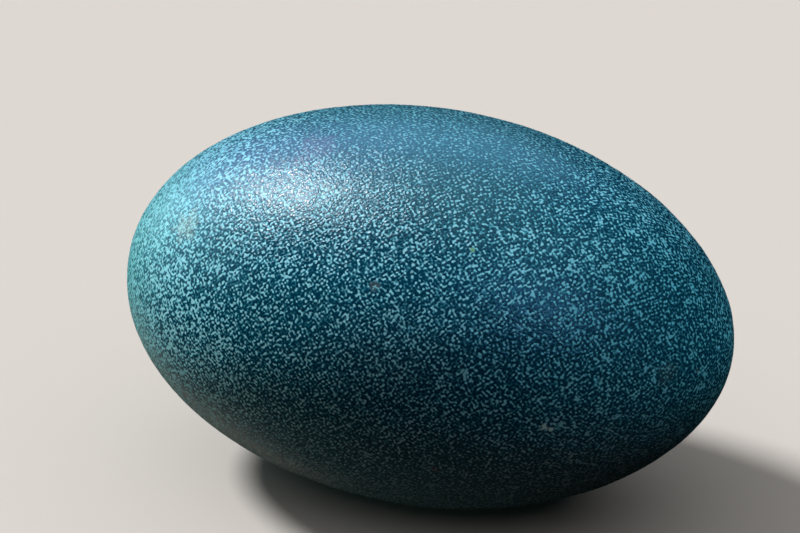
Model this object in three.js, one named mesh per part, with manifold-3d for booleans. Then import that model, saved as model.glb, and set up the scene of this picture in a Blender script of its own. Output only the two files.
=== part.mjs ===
// A whole emu egg lying on its side. Millimetres, +Z up.
//
// The long axis is level and lies along X, with the pointed end toward +X.
// The origin is on the resting plane, below the middle of the egg's length.

import * as THREE from 'three';
import { mergeVertices } from 'three/addons/utils/BufferGeometryUtils.js';
import Module from 'manifold-3d';

// The two sizes that calipers read on an egg.
const LENGTH = 136;
const BREADTH = 86;

// How the outline departs from an ellipse, in Preston's egg curve. These are
// the factors of t, t squared and t cubed, where t runs along the long axis
// from -1 at the blunt end to 1 at the pointed end.
const TAPER = -0.008;
const END_FULLNESS = -0.015;
const POINT_TAPER = -0.032;

// Width, across the long axis, of the small flat spot that the egg rests on.
const REST_SPOT_WIDTH = 13;

const SEGMENTS_AROUND = 64;
const STEPS_ALONG = 36;

// The egg's axis stands this high over the plane that cuts the resting spot.
const AXIS_HEIGHT = Math.sqrt((BREADTH / 2) ** 2 - (REST_SPOT_WIDTH / 2) ** 2);

function outlineRadius(t) {
  const departure = 1 + TAPER * t + END_FULLNESS * t ** 2 + POINT_TAPER * t ** 3;
  return (BREADTH / 2) * Math.sqrt(1 - t ** 2) * departure;
}

// The whole surface of revolution, its blunt end at -X. Equal steps of the
// ellipse's angle give steps of nearly equal length along the shell.
function eggGeometry() {
  const outline = [];
  for (let step = 0; step <= STEPS_ALONG; step += 1) {
    const t = -Math.cos(Math.PI * step / STEPS_ALONG);
    outline.push(new THREE.Vector2(outlineRadius(t), (LENGTH / 2) * t));
  }
  const geometry = new THREE.LatheGeometry(outline, SEGMENTS_AROUND);
  geometry.rotateZ(-Math.PI / 2);
  geometry.translate(0, 0, AXIS_HEIGHT);
  return geometry;
}

// A block whose top is the resting plane, far wider than the spot that it cuts.
function groundGeometry() {
  const ground = new THREE.BoxGeometry(LENGTH, BREADTH, BREADTH);
  ground.translate(0, 0, -BREADTH / 2);
  return ground;
}

const wasm = await Module();
wasm.setup();

function toSolid(geometry) {
  geometry.deleteAttribute('normal');
  geometry.deleteAttribute('uv');
  const merged = mergeVertices(geometry);
  return new wasm.Manifold(new wasm.Mesh({
    numProp: 3,
    vertProperties: new Float32Array(merged.attributes.position.array),
    triVerts: new Uint32Array(merged.index.array),
  }));
}

function toGeometry(solid) {
  const { vertProperties, triVerts } = solid.getMesh();
  const geometry = new THREE.BufferGeometry();
  geometry.setAttribute('position', new THREE.BufferAttribute(vertProperties, 3));
  geometry.setIndex(new THREE.BufferAttribute(triVerts, 1));
  geometry.computeVertexNormals();
  return geometry;
}

// Dark teal shell with a low gloss.
const shellMaterial = new THREE.MeshStandardMaterial({
  color: new THREE.Color().setRGB(0.04, 0.14, 0.16),
  roughness: 0.42,
  metalness: 0,
});

const eggSolid = toSolid(eggGeometry()).subtract(toSolid(groundGeometry()));
const egg = new THREE.Mesh(toGeometry(eggSolid), shellMaterial);
egg.name = 'egg';

const emuEgg = new THREE.Group();
emuEgg.add(egg);

export default emuEgg;
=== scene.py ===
"""A whole emu egg lying on its side: its granular shell, a pale floor, studio light and the camera.

Lengths are in metres unless a comment says otherwise. +X points from the egg's blunt end to its
pointed end, and the floor is at z = 0.
"""

from math import cos, pi, radians, sin, sqrt

import bpy
import numpy as np
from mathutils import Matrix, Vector


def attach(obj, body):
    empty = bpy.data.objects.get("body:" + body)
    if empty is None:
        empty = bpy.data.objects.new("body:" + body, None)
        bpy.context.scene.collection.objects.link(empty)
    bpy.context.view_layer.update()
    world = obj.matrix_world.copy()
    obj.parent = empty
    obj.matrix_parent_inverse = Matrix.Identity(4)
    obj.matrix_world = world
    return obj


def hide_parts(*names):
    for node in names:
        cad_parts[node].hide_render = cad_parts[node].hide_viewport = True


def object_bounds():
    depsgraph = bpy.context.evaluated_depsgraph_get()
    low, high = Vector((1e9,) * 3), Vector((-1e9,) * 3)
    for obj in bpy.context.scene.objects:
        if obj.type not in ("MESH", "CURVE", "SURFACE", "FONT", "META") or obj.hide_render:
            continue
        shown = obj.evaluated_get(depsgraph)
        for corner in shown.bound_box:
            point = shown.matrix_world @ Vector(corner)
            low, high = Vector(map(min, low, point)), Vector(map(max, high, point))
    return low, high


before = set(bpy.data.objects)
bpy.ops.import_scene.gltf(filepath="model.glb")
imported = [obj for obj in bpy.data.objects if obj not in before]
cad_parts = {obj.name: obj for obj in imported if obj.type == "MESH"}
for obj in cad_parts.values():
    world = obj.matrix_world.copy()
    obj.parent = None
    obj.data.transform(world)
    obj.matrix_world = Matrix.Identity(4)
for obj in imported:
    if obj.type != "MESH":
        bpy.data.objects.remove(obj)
cad_low, cad_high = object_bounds()

MM = 0.001

# ---- The egg's outline, as in the solid ----

LENGTH = cad_high.x - cad_low.x
BREADTH = cad_high.y - cad_low.y
AXIS_HEIGHT = cad_high.z - BREADTH / 2
TAPER = -0.008
END_FULLNESS = -0.015
POINT_TAPER = -0.032


def outline_radius(t):
    """Radius of the egg where t runs along its axis from -1, the blunt end, to 1, the pointed end."""
    departure = 1 + TAPER * t + END_FULLNESS * t**2 + POINT_TAPER * t**3
    return BREADTH / 2 * np.sqrt(np.maximum(1 - t**2, 0)) * departure


# ---- The smooth egg's mesh ----

TRIANGLE_SIDE = 0.625 * MM
OUTLINE_SAMPLES = 4001
FEWEST_RING_STEPS = 6
UV_MARGIN = 0.002


def ring_places():
    """The x and the radius of rings that follow each other at equal steps along the outline."""
    t = -np.cos(np.linspace(0, pi, OUTLINE_SAMPLES))
    x = LENGTH / 2 * t
    radius = outline_radius(t)
    run = np.concatenate([[0], np.cumsum(np.hypot(np.diff(x), np.diff(radius)))])
    steps = round(run[-1] / (TRIANGLE_SIDE * sqrt(3) / 2))
    at = np.linspace(0, run[-1], steps + 1)
    return np.interp(at, run, x), np.interp(at, run, radius)


def ring_points(x, radius, steps):
    """The points of one ring, walked round from the seam underneath. A ring of no steps is one point."""
    angle = np.arange(max(steps, 1)) / max(steps, 1) * 2 * pi
    return np.stack([
        np.full(len(angle), x),
        radius * np.sin(angle),
        AXIS_HEIGHT - radius * np.cos(angle),
    ], axis=1)


def join_rings(start_a, steps_a, start_b, steps_b):
    """Triangles between ring a and ring b, both walked round from the seam.

    Returns vertex numbers and shares of the full turn, three of each to a triangle, and whether
    each triangle has a side on ring a. A ring of no steps is the single point at an end of the egg.
    """
    middles = np.concatenate([
        (np.arange(steps_a) + 0.5) / max(steps_a, 1),
        (np.arange(steps_b) + 0.5) / max(steps_b, 1),
    ])
    on_a = (np.arange(steps_a + steps_b) < steps_a)[np.argsort(middles, kind="stable")]
    done_a = np.cumsum(on_a) - on_a
    done_b = np.cumsum(~on_a) - ~on_a
    middles.sort()

    def corner(start, steps, done):
        """The vertex that is so many steps along a ring, and its share of the full turn."""
        if steps == 0:
            return np.full(len(done), start), middles
        return start + done % steps, done / steps

    third_ring_a = corner(start_a, steps_a, done_a + 1)
    third_ring_b = corner(start_b, steps_b, done_b + 1)
    first = corner(start_a, steps_a, done_a)
    second = corner(start_b, steps_b, done_b)
    third = [np.where(on_a, a, b) for a, b in zip(third_ring_a, third_ring_b)]
    numbers = np.stack([second[0], first[0], third[0]], axis=1)
    turns = np.stack([second[1], first[1], third[1]], axis=1)
    return numbers, turns, on_a


def egg_faces(steps):
    """The triangles between all the rings: their vertex numbers, and their corners' UV places."""
    starts = np.cumsum([0] + [max(n, 1) for n in steps])
    last = len(steps) - 1
    faces, uvs = [], []
    for i in range(last):
        numbers, turns, on_a = join_rings(starts[i], steps[i], starts[i + 1], steps[i + 1])
        along = np.stack([
            np.full(len(on_a), i + 1),
            np.full(len(on_a), i),
            np.where(on_a, i, i + 1),
        ], axis=1) / last
        faces.append(numbers)
        uvs.append(np.stack([turns, along], axis=2))
    return np.concatenate(faces), np.concatenate(uvs)


def egg_mesh():
    """The smooth egg as triangles of nearly one size, with a UV map whose seam runs underneath."""
    xs, radii = ring_places()
    steps = [max(FEWEST_RING_STEPS, round(2 * pi * radius / TRIANGLE_SIDE)) for radius in radii]
    steps[0] = steps[-1] = 0
    points = [ring_points(*ring) for ring in zip(xs, radii, steps)]
    faces, uvs = egg_faces(steps)
    mesh = bpy.data.meshes.new("egg_shell")
    mesh.from_pydata(np.concatenate(points), [], faces)
    layer = mesh.uv_layers.new(name="OFBake")
    inset = UV_MARGIN + (1 - 2 * UV_MARGIN) * uvs.reshape(-1)
    layer.uv.foreach_set("vector", inset.astype(np.float32))
    mesh.shade_smooth()
    return mesh


# ---- Nodes, for the relief and the material ----

NOISE_MEAN = 0.5


def add_node(tree, kind, inputs=None, **settings):
    """A new node of a shader or geometry tree. An input is a value, or an output socket to link to it."""
    node = tree.nodes.new(kind)
    for name, value in settings.items():
        setattr(node, name, value)
    for name, value in (inputs or {}).items():
        if isinstance(value, bpy.types.NodeSocket):
            tree.links.new(value, node.inputs[name])
        else:
            node.inputs[name].default_value = value
    return node


def calc(tree, operation, a, b):
    """The result of a calculation with two numbers."""
    return add_node(tree, "ShaderNodeMath", {0: a, 1: b}, operation=operation).outputs[0]


def vector_calc(tree, operation, inputs, result="Vector"):
    """The result of a calculation with vectors."""
    return add_node(tree, "ShaderNodeVectorMath", inputs, operation=operation).outputs[result]


def total(tree, parts):
    """All the parts added up."""
    result, *others = parts
    for part in others:
        result = calc(tree, "ADD", result, part)
    return result


def spread(tree, value, low, high, to_low, to_high):
    """value carried smoothly from the range low to high onto the range to_low to to_high."""
    inputs = {"Value": value, "From Min": low, "From Max": high, "To Min": to_low, "To Max": to_high}
    return add_node(tree, "ShaderNodeMapRange", inputs, interpolation_type="SMOOTHSTEP").outputs["Result"]


def noise(tree, place, cell, seed, detail=0.0):
    """Smooth noise around its mean, whose cells have the given size."""
    inputs = {"Vector": place, "W": seed, "Scale": 1 / cell, "Detail": detail}
    return add_node(tree, "ShaderNodeTexNoise", inputs, noise_dimensions="4D").outputs["Fac"]


def swing(tree, noise_value, share):
    """A share of how far a noise is from its mean."""
    return calc(tree, "MULTIPLY", calc(tree, "SUBTRACT", noise_value, NOISE_MEAN), share)


# ---- The shell's relief ----

# A noise is given by the size of its cells, its seed and, where it has one, its detail. Its
# wavelength is about one and a half times that size.
SWELL_NOISE = (9 * MM, 7.7)
LUMP_NOISE = (1.6 * MM, 3.1)

# Each noise carries the surface between the smooth egg and the depth under it, within its span of values.
SWELL_SPAN = (0.2, 0.8)
SWELL_DEPTH = 0.12 * MM
LUMP_SPAN = (0.3, 0.7)
LUMP_DEPTH = 0.05 * MM


def lumps(tree, place):
    """The coarse part of the granules' pattern, which the mesh and the material share."""
    return noise(tree, place, *LUMP_NOISE)


def relief_nodes():
    """Geometry nodes that sink the shell's swells and lumps into the smooth egg."""
    tree = bpy.data.node_groups.new("shell_relief", "GeometryNodeTree")
    tree.interface.new_socket(name="Geometry", in_out="INPUT", socket_type="NodeSocketGeometry")
    tree.interface.new_socket(name="Geometry", in_out="OUTPUT", socket_type="NodeSocketGeometry")
    place = add_node(tree, "GeometryNodeInputPosition").outputs[0]
    normal = add_node(tree, "GeometryNodeInputNormal").outputs[0]
    swell = spread(tree, noise(tree, place, *SWELL_NOISE), *SWELL_SPAN, -SWELL_DEPTH, 0.0)
    lump = spread(tree, lumps(tree, place), *LUMP_SPAN, 0.0, -LUMP_DEPTH)
    offset = vector_calc(tree, "SCALE", {0: normal, "Scale": calc(tree, "ADD", swell, lump)})
    source = add_node(tree, "NodeGroupInput").outputs[0]
    moved = add_node(tree, "GeometryNodeSetPosition", {"Geometry": source, "Offset": offset})
    add_node(tree, "NodeGroupOutput", {0: moved.outputs[0]})
    return tree


def egg_piece():
    """The shell as one object, its relief applied and its underside flat on the floor."""
    smooth = bpy.data.objects.new("smooth_egg", egg_mesh())
    bpy.context.scene.collection.objects.link(smooth)
    smooth.modifiers.new("relief", "NODES").node_group = relief_nodes()
    graph = bpy.context.evaluated_depsgraph_get()
    mesh = bpy.data.meshes.new_from_object(smooth.evaluated_get(graph))
    bpy.data.objects.remove(smooth)
    places = np.empty(len(mesh.vertices) * 3, np.float32)
    mesh.vertices.foreach_get("co", places)
    places[2::3] = np.maximum(places[2::3], 0)
    mesh.vertices.foreach_set("co", places)
    mesh.update()
    egg = bpy.data.objects.new("emu_egg", mesh)
    bpy.context.scene.collection.objects.link(egg)
    return egg


# ---- The shell's pattern ----
#
# The field is one number at each place. A dark granule stands where it is low, and the pale ground
# shows where it is high. The shares below say how far each part of the pattern moves the field.

FIELD_MIDDLE = 0.5

GRAIN_NOISE = (0.56 * MM, 1.3)
GRAIN_REACH = 0.455 * MM
NEIGHBOUR_SHARE = 0.18

LUMP_SHARE = 0.05

TOOTH_NOISE = (0.42 * MM, 9.2, 0.5)
TOOTH_SHARE = 0.2

CLUMP_NOISE = (1.0 * MM, 2.4)

PATCH_NOISE = (4 * MM, 5.5, 1.0)
PATCH_SPAN = (0.3, 0.7)
PATCH_SHARE = 0.015

BLOT_SPAN = (0.63, 0.71)
BLOT_SHARE = 0.10

# A drift has an axis of the egg, where it starts and ends on it, and its values there.
BLUNT_CLUMPS = ("X", -50 * MM, -15 * MM, 0.68, 0.20)
LOW_CLUMPS = ("Z", 12 * MM, 42 * MM, 0.22, 0.0)
POINT_BLOTS = ("X", 15 * MM, 45 * MM, 0.6, 1.3)
PALE_BLUNT_END = ("X", -58 * MM, -20 * MM, 0.085, 0.0)
DARK_UNDERSIDE = ("Z", 10 * MM, 45 * MM, -0.03, 0.0)
# Painted shade: fewer pale specks on the crown, which darken the top.
PAINTED_CROWN_SHADE_FIELD = ("Z", 72 * MM, 84 * MM, 0.0, -0.03)


def drift(tree, axes, axis, start, end, at_start, at_end):
    """A value that changes smoothly between two places along an axis of the egg."""
    return spread(tree, axes[axis], start, end, at_start, at_end)


def shift(tree, place, direction, distance):
    """place moved by a distance along a unit vector."""
    return vector_calc(tree, "MULTIPLY_ADD", {0: direction, 1: (distance,) * 3, 2: place})


def granules(tree, place, normal):
    """Noise of nearly one wavelength: what each place has over four neighbours around it on the shell."""
    around = vector_calc(tree, "CROSS_PRODUCT", {0: normal, 1: (1, 0, 0)})
    around = vector_calc(tree, "NORMALIZE", {0: around})
    along = vector_calc(tree, "CROSS_PRODUCT", {0: around, 1: normal})
    grain = noise(tree, place, *GRAIN_NOISE)
    for direction in (around, along):
        for distance in (-GRAIN_REACH, GRAIN_REACH):
            beside = noise(tree, shift(tree, place, direction, distance), *GRAIN_NOISE)
            grain = calc(tree, "SUBTRACT", grain, calc(tree, "MULTIPLY", beside, NEIGHBOUR_SHARE))
    return calc(tree, "SUBTRACT", grain, NOISE_MEAN * (1 - 4 * NEIGHBOUR_SHARE))


def clumps(tree, place, axes):
    """Granules run together, most of all at the blunt end and low down."""
    share = total(tree, (drift(tree, axes, *BLUNT_CLUMPS), drift(tree, axes, *LOW_CLUMPS)))
    return swing(tree, noise(tree, place, *CLUMP_NOISE), share)


def blots(tree, coarse, axes):
    """Large pale blots, strongest at the pointed end."""
    blot = spread(tree, coarse, *BLOT_SPAN, 0.0, BLOT_SHARE)
    return calc(tree, "MULTIPLY", blot, drift(tree, axes, *POINT_BLOTS))


def pattern(tree, place, normal, axes, teeth):
    """The field, from the finest part of the pattern to its slow drifts over the egg, and painted shade
    on the crown.
    """
    coarse = lumps(tree, place)
    patches = noise(tree, place, *PATCH_NOISE)
    return total(tree, (
        granules(tree, place, normal),
        swing(tree, coarse, LUMP_SHARE),
        FIELD_MIDDLE,
        swing(tree, teeth, TOOTH_SHARE),
        clumps(tree, place, axes),
        drift(tree, axes, *PALE_BLUNT_END),
        spread(tree, patches, *PATCH_SPAN, -PATCH_SHARE, PATCH_SHARE),
        drift(tree, axes, *DARK_UNDERSIDE),
        drift(tree, axes, *PAINTED_CROWN_SHADE_FIELD),
        blots(tree, coarse, axes),
    ))


# ---- The shell's colours ----

# The field at which each colour stands: granule tops, their slopes, the ground and its clearest spots.
SHELL_COLOURS = (
    (0.360, (0.0000, 0.046, 0.084)),
    (0.470, (0.0000, 0.072, 0.118)),
    (0.540, (0.0030, 0.107, 0.160)),
    (0.590, (0.0300, 0.245, 0.313)),
    (0.630, (0.1350, 0.462, 0.545)),
    (0.690, (0.3200, 0.735, 0.815)),
)

# The part of the field that the ramp of these colours covers, and where the ramp's elements stand
# before they get their places.
FIELD_LOW = 0.25
FIELD_HIGH = 0.75
RAMP_MIDDLE = 0.5

# Painted sheen, reflection and shade hide part of the pattern. Their shares are drifts, which are added
# up.
PAINTED_SHEEN_AND_SHADE_COLOUR = (0.070, 0.200, 0.235)
PAINTED_SHEEN_AND_SHADE_DRIFTS = (
    # Painted reflection of the floor, which flattens the pattern underneath.
    ("Z", 4 * MM, 48 * MM, 0.80, 0.0),
    # Painted sheen on the crown.
    ("Z", 76 * MM, 85 * MM, 0.0, 0.40),
    # Painted sheen on the blunt end.
    ("X", -68 * MM, -38 * MM, 0.38, 0.0),
    # Painted shade, which flattens the pattern towards the pointed end.
    ("X", 25 * MM, 55 * MM, 0.0, 0.08),
)

# One more share of painted sheen, on the blunt end's upper side beside the highlight, is the product of
# these two.
SHOULDER_PAINTED_SHEEN_DRIFTS = (
    ("X", -46 * MM, -18 * MM, 0.35, 0.0),
    ("Z", 50 * MM, 72 * MM, 0.0, 1.0),
)

# A greener blunt tip, partly its own tint and partly painted green light, and a crown a little darker by
# painted shade.
TIP_TINT_AND_PAINTED_GREEN_LIGHT = (0.120, 0.430, 0.360)
TIP_TINT_AND_PAINTED_GREEN_LIGHT_DRIFT = ("X", -68 * MM, -46 * MM, 0.25, 0.0)
PAINTED_CROWN_SHADE = ("Z", 66 * MM, 84 * MM, 1.0, 0.84)

# Small marks on the shell, and two painted glints: their place in millimetres, with z from the egg's
# axis, their radius in millimetres, their colour and their strength.
MARKS_AND_PAINTED_GLINTS = (
    # Two pale specks that are painted glints, a green speck and a beige smudge.
    ((38.2, -34.8, -3.8), 0.75, (0.62, 0.95, 0.90), 1.0),
    ((39.4, -34.0, -4.6), 0.62, (0.60, 0.92, 0.86), 1.0),
    ((19.7, -27.4, 30.4), 0.55, (0.25, 0.55, 0.26), 0.9),
    ((-46.4, -22.6, 22.3), 4.0, (0.34, 0.42, 0.36), 0.34),
    # Four faint dark spots, and a purple-grey smudge on top.
    ((1.4, -36.2, 23.2), 1.3, (0.20, 0.20, 0.18), 0.3),
    ((15.5, -38.3, -16.7), 0.8, (0.20, 0.16, 0.19), 0.4),
    ((59.8, -19.0, 5.0), 2.8, (0.11, 0.13, 0.10), 0.3),
    ((64.4, -12.8, 2.8), 0.8, (0.20, 0.13, 0.15), 0.35),
    ((-21.0, -10.4, 39.6), 6.0, (0.17, 0.15, 0.24), 0.22),
)
MARK_SEED = 4.4

# Sizes within a mark, as shares of its radius: the cells of its ragged edge, how ragged it is, and
# where it starts and ends to fade.
MARK_CELL = 0.5
MARK_RAGGED = 1.2
MARK_FULL = 0.5
MARK_GONE = 1.1


def mixed(tree, share, colour, other):
    """colour carried by a share of the way to another, fixed colour."""
    node = add_node(tree, "ShaderNodeMix", data_type="RGBA")
    for socket in node.inputs:
        if socket.name == "Factor" and socket.type == "VALUE":
            tree.links.new(share, socket)
        if socket.name == "A" and socket.type == "RGBA":
            tree.links.new(colour, socket)
        if socket.name == "B" and socket.type == "RGBA":
            socket.default_value = (*other, 1.0)
    return next(socket for socket in node.outputs if socket.type == "RGBA")


def marked(tree, place, colour, at, radius, tint, strength):
    """colour with one ragged mark of a tint around a place on the shell."""
    centre = Vector(at) * MM + Vector((0, 0, AXIS_HEIGHT))
    radius = radius * MM
    away = vector_calc(tree, "DISTANCE", {0: place, 1: centre}, "Value")
    ragged = swing(tree, noise(tree, place, MARK_CELL * radius, MARK_SEED), MARK_RAGGED * radius)
    away = calc(tree, "ADD", away, ragged)
    share = spread(tree, away, MARK_FULL * radius, MARK_GONE * radius, strength, 0.0)
    return mixed(tree, share, colour, tint)


def colour_ramp(tree, field):
    """The shell's colours by the field."""
    node = add_node(tree, "ShaderNodeValToRGB")
    ramp = node.color_ramp
    while len(ramp.elements) < len(SHELL_COLOURS):
        ramp.elements.new(RAMP_MIDDLE)
    for element, (at, colour) in zip(ramp.elements, SHELL_COLOURS):
        element.position = (at - FIELD_LOW) / (FIELD_HIGH - FIELD_LOW)
        element.color = (*colour, 1.0)
    inputs = {"Value": field, "From Min": FIELD_LOW, "From Max": FIELD_HIGH}
    share = add_node(tree, "ShaderNodeMapRange", inputs).outputs["Result"]
    tree.links.new(share, node.inputs["Fac"])
    return node.outputs["Color"]


def shell_colour(tree, place, axes, field):
    """The pattern's colours under painted sheen, reflection and shade, with the tip's own tint and
    painted green light, the small marks and painted glints, and the crown's painted shade.
    """
    # Painted sheen beside the highlight, and painted sheen, reflection and shade over the rest of the
    # shell.
    shoulder_painted_sheen = calc(tree, "MULTIPLY", *(drift(tree, axes, *row) for row in SHOULDER_PAINTED_SHEEN_DRIFTS))
    painted_sheen_and_shade = total(tree, (*(drift(tree, axes, *row) for row in PAINTED_SHEEN_AND_SHADE_DRIFTS), shoulder_painted_sheen))
    colour = mixed(tree, painted_sheen_and_shade, colour_ramp(tree, field), PAINTED_SHEEN_AND_SHADE_COLOUR)
    # The blunt tip's own greener tint, partly painted green light.
    colour = mixed(tree, drift(tree, axes, *TIP_TINT_AND_PAINTED_GREEN_LIGHT_DRIFT), colour, TIP_TINT_AND_PAINTED_GREEN_LIGHT)
    # Small marks, two of them painted glints.
    for mark in MARKS_AND_PAINTED_GLINTS:
        colour = marked(tree, place, colour, *mark)
    # Painted shade darkens the crown.
    painted_crown_shade = drift(tree, axes, *PAINTED_CROWN_SHADE)
    return vector_calc(tree, "SCALE", {0: colour, "Scale": painted_crown_shade})


# ---- The shell's finish ----

# The field between a granule's top and the ground, for the height and for the roughness.
HEIGHT_SPAN = (0.38, 0.64)
GRANULE_HEIGHT = 0.05 * MM
TOOTH_HEIGHT = 0.12 * MM
ROUGHNESS_SPAN = (0.42, 0.62)
GRANULE_ROUGHNESS = 0.22
GROUND_ROUGHNESS = 0.38
SHELL_SPECULAR = 0.5


def shell_bump(tree, field, teeth):
    """The normal as the granules and their teeth bend it. Their heights are in metres."""
    granule = spread(tree, field, *HEIGHT_SPAN, GRANULE_HEIGHT, 0.0)
    tooth = calc(tree, "MULTIPLY", teeth, TOOTH_HEIGHT)
    inputs = {"Strength": 1.0, "Distance": 1.0, "Height": calc(tree, "ADD", granule, tooth)}
    return add_node(tree, "ShaderNodeBump", inputs).outputs[0]


def shell_material():
    """The granular, faintly glossy shell."""
    material = bpy.data.materials.new("eggshell")
    material.use_nodes = True
    tree = material.node_tree
    tree.nodes.clear()
    coordinates = add_node(tree, "ShaderNodeTexCoord").outputs
    place = coordinates["Object"]
    axes = add_node(tree, "ShaderNodeSeparateXYZ", {0: place}).outputs
    teeth = noise(tree, place, *TOOTH_NOISE)
    field = pattern(tree, place, coordinates["Normal"], axes, teeth)
    shader = add_node(tree, "ShaderNodeBsdfPrincipled", {
        "Base Color": shell_colour(tree, place, axes, field),
        "Roughness": spread(tree, field, *ROUGHNESS_SPAN, GRANULE_ROUGHNESS, GROUND_ROUGHNESS),
        "Specular IOR Level": SHELL_SPECULAR,
        "Normal": shell_bump(tree, field, teeth),
    })
    add_node(tree, "ShaderNodeOutputMaterial", {"Surface": shader.outputs[0]})
    return material


# ---- The floor and the backdrop ----

FLOOR_SIZE = 8.0
FLOOR_COLOUR = (0.50, 0.47, 0.44)
FLOOR_ROUGHNESS = 0.9
BACKDROP_COLOUR = (0.73, 0.69, 0.64)


def floor():
    """A plain pale floor. It casts no light, reflection or shadow on the egg."""
    half = FLOOR_SIZE / 2
    corners = [(-half, -half, 0), (half, -half, 0), (half, half, 0), (-half, half, 0)]
    mesh = bpy.data.meshes.new("floor")
    mesh.from_pydata(corners, [], [(0, 1, 2, 3)])
    material = bpy.data.materials.new("floor")
    material.use_nodes = True
    shader = material.node_tree.nodes["Principled BSDF"]
    shader.inputs["Base Color"].default_value = (*FLOOR_COLOUR, 1.0)
    shader.inputs["Roughness"].default_value = FLOOR_ROUGHNESS
    shader.inputs["Specular IOR Level"].default_value = 0.0
    mesh.materials.append(material)
    plane = bpy.data.objects.new("floor", mesh)
    plane.visible_diffuse = False
    plane.visible_glossy = False
    plane.visible_shadow = False
    bpy.context.scene.collection.objects.link(plane)
    return plane


def backdrop():
    """A pale surrounding behind the floor, which lights nothing."""
    world = bpy.data.worlds.new("backdrop")
    world.use_nodes = True
    world.node_tree.nodes["Background"].inputs["Color"].default_value = (*BACKDROP_COLOUR, 1.0)
    world.cycles_visibility.diffuse = False
    world.cycles_visibility.glossy = False
    bpy.context.scene.world = world


# ---- The lights ----

# The shell's square lamps: name, direction from the egg, distance, side, power in watts, colour, and
# the part of the shell's look that each one feeds. No two stand at one place, where one would hide
# the other.
KEY_DIRECTION = (-0.66, 0.07, 0.75)
SHELL_LAMPS = (
    ("key", KEY_DIRECTION, 1.2, 0.3, 20.3, (1.0, 0.81, 0.86), "diffuse"),
    ("key_gloss", (-0.61, 0.0, 0.79), 1.25, 0.55, 13.4, (0.64, 0.90, 1.0), "gloss"),
    ("glint", (-0.67, 0.08, 0.74), 1.15, 0.1, 4.6, (1.0, 0.85, 0.72), "gloss"),
    ("glow", (-0.72, 0.42, 0.55), 1.2, 0.9, 6.6, (0.35, 0.46, 1.0), "gloss"),
    ("left", (-1, 0, 0.25), 0.8, 0.4, 2.0, (0.10, 1.0, 0.95), "diffuse"),
    ("left_gloss", (-1, 0, 0.25), 0.85, 0.5, 1.0, (0.45, 0.85, 1.0), "gloss"),
    ("left_back", (-0.92, 0.35, 0.17), 0.8, 0.3, 1.1, (0.10, 1.0, 0.80), "diffuse"),
    ("left_back_gloss", (-0.92, 0.35, 0.17), 0.85, 0.3, 1.3, (0.45, 0.95, 1.0), "gloss"),
    ("back", (-0.15, 0.71, 0.69), 0.8, 0.6, 2.2, (0.24, 0.62, 1.0), "gloss"),
    ("back_fill", (0.25, 0.95, 0.1), 0.8, 0.6, 1.3, (0.75, 0.9, 1.0), "diffuse"),
    ("top", (0, 0, 1), 0.8, 0.6, 1.5, (0.35, 0.72, 0.75), "gloss"),
    ("right_high", (0.5, 0, 0.87), 0.8, 0.6, 3.45, (0.22, 0.75, 0.92), "diffuse"),
    ("right_gloss", (0.5, 0, 0.87), 0.85, 0.6, 0.6, (0.10, 0.50, 1.0), "gloss"),
    ("right", (0.85, -0.35, 0.2), 0.8, 0.5, 0.2, (1.0, 0.35, 0.25), "diffuse"),
    ("right_back", (0.75, 0.6, 0.0), 0.8, 0.5, 0.25, (1.0, 1.0, 0.88), "diffuse"),
    ("front", (-0.2, -0.9, 0.12), 0.8, 0.5, 0.5, (1.0, 0.53, 0.53), "diffuse"),
    ("front_gloss", (0.49, -0.63, 0.61), 0.8, 0.3, 1.1, (0.2, 0.5, 1.0), "gloss"),
    ("bounce", (-0.8, -0.2, -0.55), 0.5, 0.3, 0.42, (1.0, 0.66, 0.50), "diffuse"),
    ("bounce_gloss", (-0.66, 0.3, -0.66), 0.6, 0.35, 0.10, (1.0, 0.88, 0.72), "gloss"),
)

# The floor's even, distant lights: name, direction, width in degrees and strength.
FLOOR_SUNS = (
    ("floor_key", KEY_DIRECTION, 13, 4.17),
    ("room", (0, 0, 1), 110, 1.45),
)


def lit_alone(thing):
    """A collection that lets lamps light one object alone."""
    collection = bpy.data.collections.new("lit_" + thing.name)
    collection.objects.link(thing)
    return collection


def aimed_lamp(data, direction, only):
    """A lamp that shines from a direction and lights only the given collection."""
    lamp = bpy.data.objects.new(data.name, data)
    lamp.rotation_euler = Vector(direction).to_track_quat("Z", "Y").to_euler()
    lamp.light_linking.receiver_collection = only
    bpy.context.scene.collection.objects.link(lamp)
    return lamp


def area_light(only, name, direction, distance, side, power, colour, part):
    """A square lamp that faces the egg and feeds its diffuse colour or its gloss."""
    data = bpy.data.lights.new(name, "AREA")
    data.size = side
    data.energy = power
    data.color = colour
    lamp = aimed_lamp(data, direction, only)
    lamp.location = Vector((0, 0, AXIS_HEIGHT)) + Vector(direction).normalized() * distance
    lamp.visible_diffuse = part == "diffuse"
    lamp.visible_glossy = part == "gloss"


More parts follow.
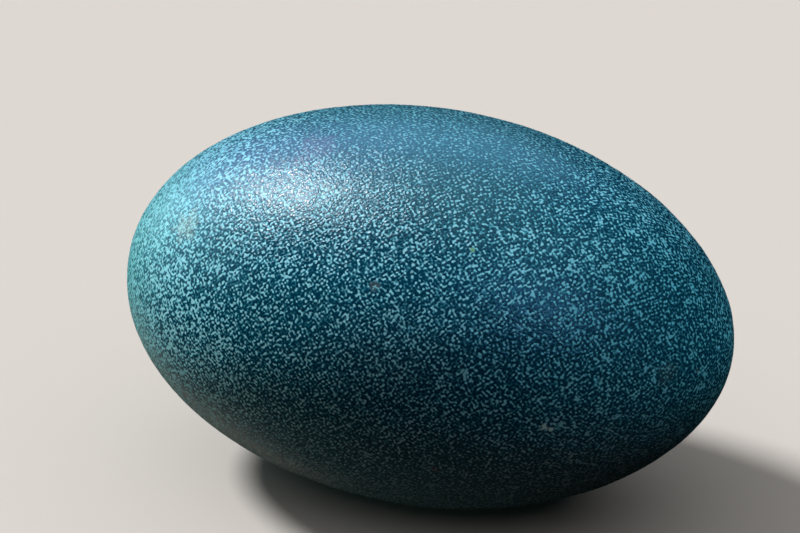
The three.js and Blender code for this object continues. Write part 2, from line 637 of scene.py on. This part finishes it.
def sun_light(only, name, direction, width, strength):
    """An even, distant light of a width in degrees."""
    data = bpy.data.lights.new(name, "SUN")
    data.angle = radians(width)
    data.energy = strength
    aimed_lamp(data, direction, only)


def studio_light(egg, ground):
    """Soft lamps for the shell, and two suns for the floor."""
    shell, stage = lit_alone(egg), lit_alone(ground)
    for row in SHELL_LAMPS:
        area_light(shell, *row)
    for row in FLOOR_SUNS:
        sun_light(stage, *row)


# ---- The camera ----

# Pixels are those of the photograph, angles are in degrees, and the lens and the sensor in millimetres.
PHOTO_WIDTH = 800
PHOTO_HEIGHT = 533
EGG_CENTRE_PIXEL = (426.9, 306.3)
CAMERA_AZIMUTH = 19.6
CAMERA_ELEVATION = 28.0
CAMERA_DISTANCE = 0.85
CAMERA_LENS = 176.9
SENSOR_WIDTH = 36.0


def camera():
    """A long lens that puts the middle of the egg at its pixel of the photograph's frame."""
    azimuth, elevation = radians(CAMERA_AZIMUTH), radians(CAMERA_ELEVATION)
    back = Vector((sin(azimuth) * cos(elevation), -cos(azimuth) * cos(elevation), sin(elevation)))
    right = Vector((cos(azimuth), sin(azimuth), 0))
    up = back.cross(right)
    centre = Vector((0, 0, AXIS_HEIGHT))
    pixel = CAMERA_DISTANCE * SENSOR_WIDTH / CAMERA_LENS / PHOTO_WIDTH
    aside = (PHOTO_WIDTH / 2 - EGG_CENTRE_PIXEL[0]) * pixel
    above = (EGG_CENTRE_PIXEL[1] - PHOTO_HEIGHT / 2) * pixel
    data = bpy.data.cameras.new("camera")
    data.lens = CAMERA_LENS
    data.sensor_width = SENSOR_WIDTH
    viewer = bpy.data.objects.new("camera", data)
    viewer.location = centre + back * CAMERA_DISTANCE
    aim = centre + right * aside + up * above
    viewer.rotation_euler = (viewer.location - aim).to_track_quat("Z", "Y").to_euler()
    bpy.context.scene.collection.objects.link(viewer)
    bpy.context.scene.camera = viewer


# ---- The part and its scene ----

egg = egg_piece()
egg.data.materials.clear()
egg.data.materials.append(shell_material())
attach(egg, "root")
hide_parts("egg")

ground = floor()
studio_light(egg, ground)
backdrop()
camera()
bpy.context.scene.view_settings.view_transform = "Standard"
